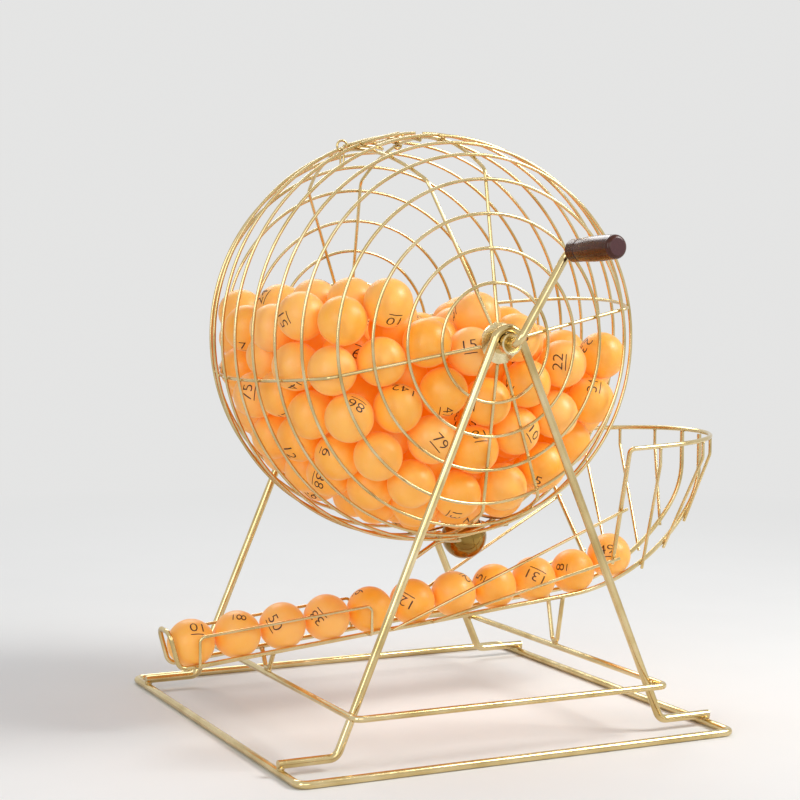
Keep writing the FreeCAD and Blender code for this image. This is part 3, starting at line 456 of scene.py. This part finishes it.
def number_shape(text):
    """Flat triangles of a number over a bar, in small steps, centred on the origin."""
    data = bpy.data.curves.new("digits", "FONT")
    data.body = text
    data.align_x = "CENTER"
    data.size = DIGIT_HEIGHT / CAP_HEIGHT
    data.offset = -DIGIT_THINNING
    data.resolution_u = CURVE_STEPS
    carrier = bpy.data.objects.new("digits", data)
    mesh = bpy.data.meshes.new_from_object(carrier)
    bpy.data.objects.remove(carrier)
    bpy.data.curves.remove(data)
    shape = bmesh.new()
    shape.from_mesh(mesh)
    bpy.data.meshes.remove(mesh)
    for vertex in shape.verts:
        vertex.co.x *= DIGIT_WIDENING
    low = min(v.co.x for v in shape.verts)
    high = max(v.co.x for v in shape.verts)
    corners = [(x, y) for y in (-BAR_DROP - BAR_WIDTH, -BAR_DROP) for x in (low, high)]
    bar = [shape.verts.new((x, y, 0.0)) for x, y in corners]
    shape.faces.new((bar[0], bar[1], bar[3], bar[2]))
    bmesh.ops.triangulate(shape, faces=shape.faces[:])
    for _ in range(INK_ROUNDS):
        long_edges = [e for e in shape.edges if e.calc_length() > INK_STEP]
        if not long_edges:
            break
        bmesh.ops.subdivide_edges(shape, edges=long_edges, cuts=1)
        bmesh.ops.triangulate(shape, faces=shape.faces[:])
    drop = (DIGIT_HEIGHT - BAR_DROP - BAR_WIDTH) / 2
    for vertex in shape.verts:
        vertex.co = ((vertex.co.x - (low + high) / 2), vertex.co.y - drop, 0.0)
    shape.verts.index_update()
    points = [tuple(v.co[:2]) for v in shape.verts]
    faces = [[v.index for v in f.verts] for f in shape.faces]
    shape.free()
    return points, faces


def print_on_ball(points, centre, outward, upward):
    """Points of a flat shape wrapped round a ball."""
    outward = outward.normalized()
    upward = (upward - outward * upward.dot(outward)).normalized()
    across = upward.cross(outward)
    wrapped = []
    for x, y in points:
        reach = math.hypot(x, y)
        turn = reach / BALL_R
        way = (across * x + upward * y) / reach if reach > 0 else upward
        wrapped.append(centre + (outward * math.cos(turn) + way * math.sin(turn)) * (BALL_R + INK_LIFT))
    return wrapped


def seen_ball(centres, pixel_x, pixel_y):
    """The ball first met by the camera's ray through a place on the picture, and the point met."""
    half = IMAGE_SIZE / 2
    ray = AHEAD + (RIGHT * (pixel_x - half) + UP * (half - pixel_y)) / FOCAL_PIXELS
    ray.normalize()
    best = None
    for index, centre in enumerate(centres):
        along = (centre - CAMERA_AT).dot(ray)
        miss = (CAMERA_AT + ray * along - centre).length
        if miss < BALL_R:
            depth = along - math.sqrt(BALL_R ** 2 - miss ** 2)
            if best is None or depth < best[0]:
                best = (depth, index, CAMERA_AT + ray * depth)
    return best


def number_balls(node_name, seen, spare, piece_name, body):
    """One printed number on each ball; the listed ones lie where the picture shows them."""
    centres = ball_centres(node_name)
    marks = {}
    for text, pixel_x, pixel_y, turn in seen:
        found = seen_ball(centres, pixel_x, pixel_y)
        if found is None or found[1] in marks:
            continue
        angle = math.radians(turn)
        upward = UP * math.cos(angle) - RIGHT * math.sin(angle)
        marks[found[1]] = (text, found[2] - centres[found[1]], upward)
    verts, faces = [], []
    for index, centre in enumerate(centres):
        outward = Vector([random.gauss(0, 1) for _ in range(3)])
        upward = Vector([random.gauss(0, 1) for _ in range(3)])
        text, outward, upward = marks.get(index, (spare.pop(), outward, upward))
        points, triangles = number_shape(text)
        start = len(verts)
        verts += print_on_ball(points, centre, outward, upward)
        faces += [[start + i for i in triangle] for triangle in triangles]
    mesh = bpy.data.meshes.new(piece_name)
    mesh.from_pydata(verts, [], faces)
    mesh.validate()
    mesh.update()
    mesh.shade_smooth()
    return add_piece(piece_name, mesh, "ink", body)


random.seed(NUMBER_SEED)
spare_numbers = [str(n) for n in range(1, HIGHEST_NUMBER + 1)]
random.shuffle(spare_numbers)
number_balls("chute_balls", CHUTE_NUMBERS, spare_numbers, "chute_ball_numbers", "stand")
spare_numbers += [str(n) for n in range(1, REPEATED_NUMBERS + 1)]
number_balls("pile_balls", PILE_NUMBERS, spare_numbers, "pile_ball_numbers", "stand")


# ---- welds -----------------------------------------------------------------------
# Widest gap that a bead closes, and the least distance between two beads.
FRAME_REACH = 0.6 * MM
HINGED_REACH = 0.9 * MM
WELD_APART = 5.0 * MM
BEAD_SUBDIVISIONS = 2
LUMP_DEPTH = 0.10
LUMP_WAVES = 4.0
LUMP_SHIFT = 5.0
# Two nodes whose wires are welded where they meet, and the bead's radius in millimetres.
STAND_WELDS = (
    ("base_frame", "a_frame_front", 3.3),
    ("base_frame", "a_frame_rear", 3.3),
    ("brace_frame", "a_frame_front", 2.9),
    ("brace_frame", "a_frame_rear", 2.9),
    ("brace_frame", "chute_support_left", 2.2),
    ("brace_frame", "chute_support_right", 2.2),
    ("chute_rails", "chute_support_left", 2.2),
    ("chute_rails", "chute_support_right", 2.2),
    ("chute_rails", "guard_front", 1.6),
    ("chute_rails", "guard_rear", 1.6),
    ("chute_rails", "basket_rim", 2.1),
    ("chute_rails", "basket_ribs", 1.7),
    ("basket_rim", "basket_ribs", 1.7),
    ("chute_rails", "funnel_guides", 1.6),
    ("basket_rim", "funnel_guides", 1.6),
)
DRUM_WELDS = (
    ("hoop_wires", "barrel_rings", 1.35),
    ("hoop_wires", "bay_rings", 1.35),
    ("hoop_wires", "cone_rings_front", 1.35),
    ("hoop_wires", "cone_rings_rear", 1.35),
    ("hoop_wires", "hub_front", 1.6),
    ("hoop_wires", "hub_rear", 1.6),
    ("hoop_wires", "latch_eye", 1.1),
)
DOOR_WELDS = (
    ("door_cross_bars", "door_ring_wires", 1.3),
    ("door_cross_bars", "door_hinge_arms", 1.2),
    ("door_cross_bars", "door_tongue", 1.5),
)
GATE_WELDS = (
    ("gate_cross_bars", "gate_wires", 1.2),
    ("gate_cross_bars", "gate_hinge_arms", 1.2),
    ("gate_cross_bars", "gate_lever", 1.6),
    ("gate_ball", "gate_lever", 1.9),
)


def skin(node_name, grow):
    """A node's points, moved out along their normals, and its triangles."""
    mesh = NODES[node_name].data
    mesh.calc_loop_triangles()
    points = [vertex.co + vertex.normal * grow for vertex in mesh.vertices]
    return points, [tuple(triangle.vertices) for triangle in mesh.loop_triangles]


def edge_hits(points, corners, others, other_corners):
    """Where the edges of one triangle pass through another."""
    a, b, c = [points[i] for i in corners]
    triangle = [others[i] for i in other_corners]
    hits = []
    for start, end in ((a, b), (b, c), (c, a)):
        hit = intersect_ray_tri(*triangle, end - start, start, True)
        if hit is not None and (hit - start).length <= (end - start).length:
            hits.append(hit)
    return hits


def weld_spots(first, second, reach):
    """Places where two nodes' skins, one grown by the reach of a weld, pass through each other."""
    points, triangles = skin(first, reach)
    others, other_triangles = skin(second, 0.0)
    trees = [BVHTree.FromPolygons(*pair) for pair in ((points, triangles), (others, other_triangles))]
    spots = []
    for one, two in trees[0].overlap(trees[1]):
        hits = edge_hits(points, triangles[one], others, other_triangles[two])
        hits += edge_hits(others, other_triangles[two], points, triangles[one])
        for hit in hits:
            for spot in spots:
                if (spot[0] / spot[1] - hit).length < WELD_APART:
                    spot[0] += hit
                    spot[1] += 1
                    break
            else:
                spots.append([hit.copy(), 1])
    return [total / count for total, count in spots]


def add_welds(piece_name, pairs, body, reach):
    """Beads of weld, each a lump with its own uneven outline."""
    shape = bmesh.new()
    for first, second, size in pairs:
        radius = size * MM
        for centre in weld_spots(first, second, reach):
            made = bmesh.ops.create_icosphere(shape, subdivisions=BEAD_SUBDIVISIONS, radius=radius)
            lean = Vector([random.uniform(-1, 1) for _ in range(3)])
            for vertex in made["verts"]:
                wave = lean.dot(vertex.co) / radius * LUMP_WAVES + lean.x * LUMP_SHIFT
                lump = 1.0 + LUMP_DEPTH * math.sin(wave)
                vertex.co = vertex.co * lump + centre
    mesh = bpy.data.meshes.new(piece_name)
    shape.to_mesh(mesh)
    shape.free()
    mesh.shade_smooth()
    return add_piece(piece_name, mesh, "weld", body)


add_welds("stand_welds", STAND_WELDS, "stand", FRAME_REACH)
add_welds("drum_welds", DRUM_WELDS, "drum", FRAME_REACH)
add_welds("door_welds", DOOR_WELDS, "door", HINGED_REACH)
add_welds("gate_welds", GATE_WELDS, "exit_gate", HINGED_REACH)


# ---- floor, light and background ---------------------------------------------------
FLOOR_RADIUS = 6.0
FLOOR_SEGMENTS = 96
FLOOR_COLOUR = (0.86, 0.86, 0.85)
FLOOR_MOTTLE = 0.985
BACKDROP = (0.78, 0.78, 0.775)
# Distances from the middle between which the floor fades into the backdrop.
FADE = (0.45, 1.7)
SKY = (0.92, 0.95, 1.0)
SKY_STRENGTH = 0.36
WHITE = (1.0, 1.0, 1.0)
LAMP_TARGET = (0.0, 0.0, 0.28)
# Name, place, width and height, watts and colour.
LAMPS = (
    ("key", (1.40, -1.05, 1.65), (0.9, 0.9), 37.0, (1.0, 0.985, 0.96)),
    ("fill", (-1.6, -1.1, 0.9), (0.7, 1.2), 8.0, WHITE),
    ("front", (-0.6, -2.1, 1.0), (1.6, 0.9), 7.0, WHITE),
    ("back", (0.3, 1.6, 1.5), (1.2, 0.6), 12.0, WHITE),
)


def add_floor():
    mesh = bpy.data.meshes.new("floor")
    shape = bmesh.new()
    bmesh.ops.create_circle(shape, cap_ends=True, segments=FLOOR_SEGMENTS, radius=FLOOR_RADIUS)
    shape.to_mesh(mesh)
    shape.free()
    floor = bpy.data.objects.new("floor", mesh)
    bpy.context.scene.collection.objects.link(floor)
    m = Nodes("floor")
    length = m.add("ShaderNodeVectorMath")
    length.operation = "LENGTH"
    m.join(m.coordinates, length.inputs[0])
    dull = tuple(c * FLOOR_MOTTLE for c in FLOOR_COLOUR)
    m.paint(m.ramp(m.noise(scale=9.0, detail=5.0), ((0.3, dull), (0.7, FLOOR_COLOUR))))
    m.set(Roughness=0.75, Specular_IOR_Level=0.25)
    glow = m.add("ShaderNodeEmission", Strength=1.0)
    glow.inputs["Color"].default_value = (*BACKDROP, 1.0)
    blend = m.add("ShaderNodeMixShader")
    m.join(m.spread(length.outputs["Value"], 0.0, 1.0, *FADE), blend.inputs["Fac"])
    m.join(m.shader.outputs["BSDF"], blend.inputs[1])
    m.join(glow.outputs["Emission"], blend.inputs[2])
    m.join(blend.outputs["Shader"], m.tree.nodes["Material Output"].inputs["Surface"])
    mesh.materials.append(m.material)


def add_world():
    world = bpy.data.worlds.new("studio")
    bpy.context.scene.world = world
    world.use_nodes = True
    tree = world.node_tree
    tree.nodes.clear()
    path = tree.nodes.new("ShaderNodeLightPath")
    mirrored = path.outputs["Is Camera Ray"]
    for ray in ("Is Glossy Ray", "Is Transmission Ray"):
        larger = tree.nodes.new("ShaderNodeMath")
        larger.operation = "MAXIMUM"
        tree.links.new(mirrored, larger.inputs[0])
        tree.links.new(path.outputs[ray], larger.inputs[1])
        mirrored = larger.outputs["Value"]
    seen = tree.nodes.new("ShaderNodeBackground")
    seen.inputs["Color"].default_value = (*BACKDROP, 1.0)
    light = tree.nodes.new("ShaderNodeBackground")
    light.inputs["Color"].default_value = (*SKY, 1.0)
    light.inputs["Strength"].default_value = SKY_STRENGTH
    blend = tree.nodes.new("ShaderNodeMixShader")
    tree.links.new(mirrored, blend.inputs["Fac"])
    tree.links.new(light.outputs["Background"], blend.inputs[1])
    tree.links.new(seen.outputs["Background"], blend.inputs[2])
    output = tree.nodes.new("ShaderNodeOutputWorld")
    tree.links.new(blend.outputs["Shader"], output.inputs["Surface"])


def add_lamp(name, place, size, power, colour):
    data = bpy.data.lights.new(name, "AREA")
    data.shape = "RECTANGLE"
    data.size, data.size_y = size
    data.energy = power
    data.color = colour
    lamp = bpy.data.objects.new(name, data)
    bpy.context.scene.collection.objects.link(lamp)
    way = Vector(LAMP_TARGET) - Vector(place)
    lamp.matrix_world = Matrix.Translation(place) @ way.to_track_quat("-Z", "Y").to_matrix().to_4x4()


add_floor()
add_world()
for lamp_values in LAMPS:
    add_lamp(*lamp_values)
bpy.context.scene.view_settings.view_transform = "Standard"
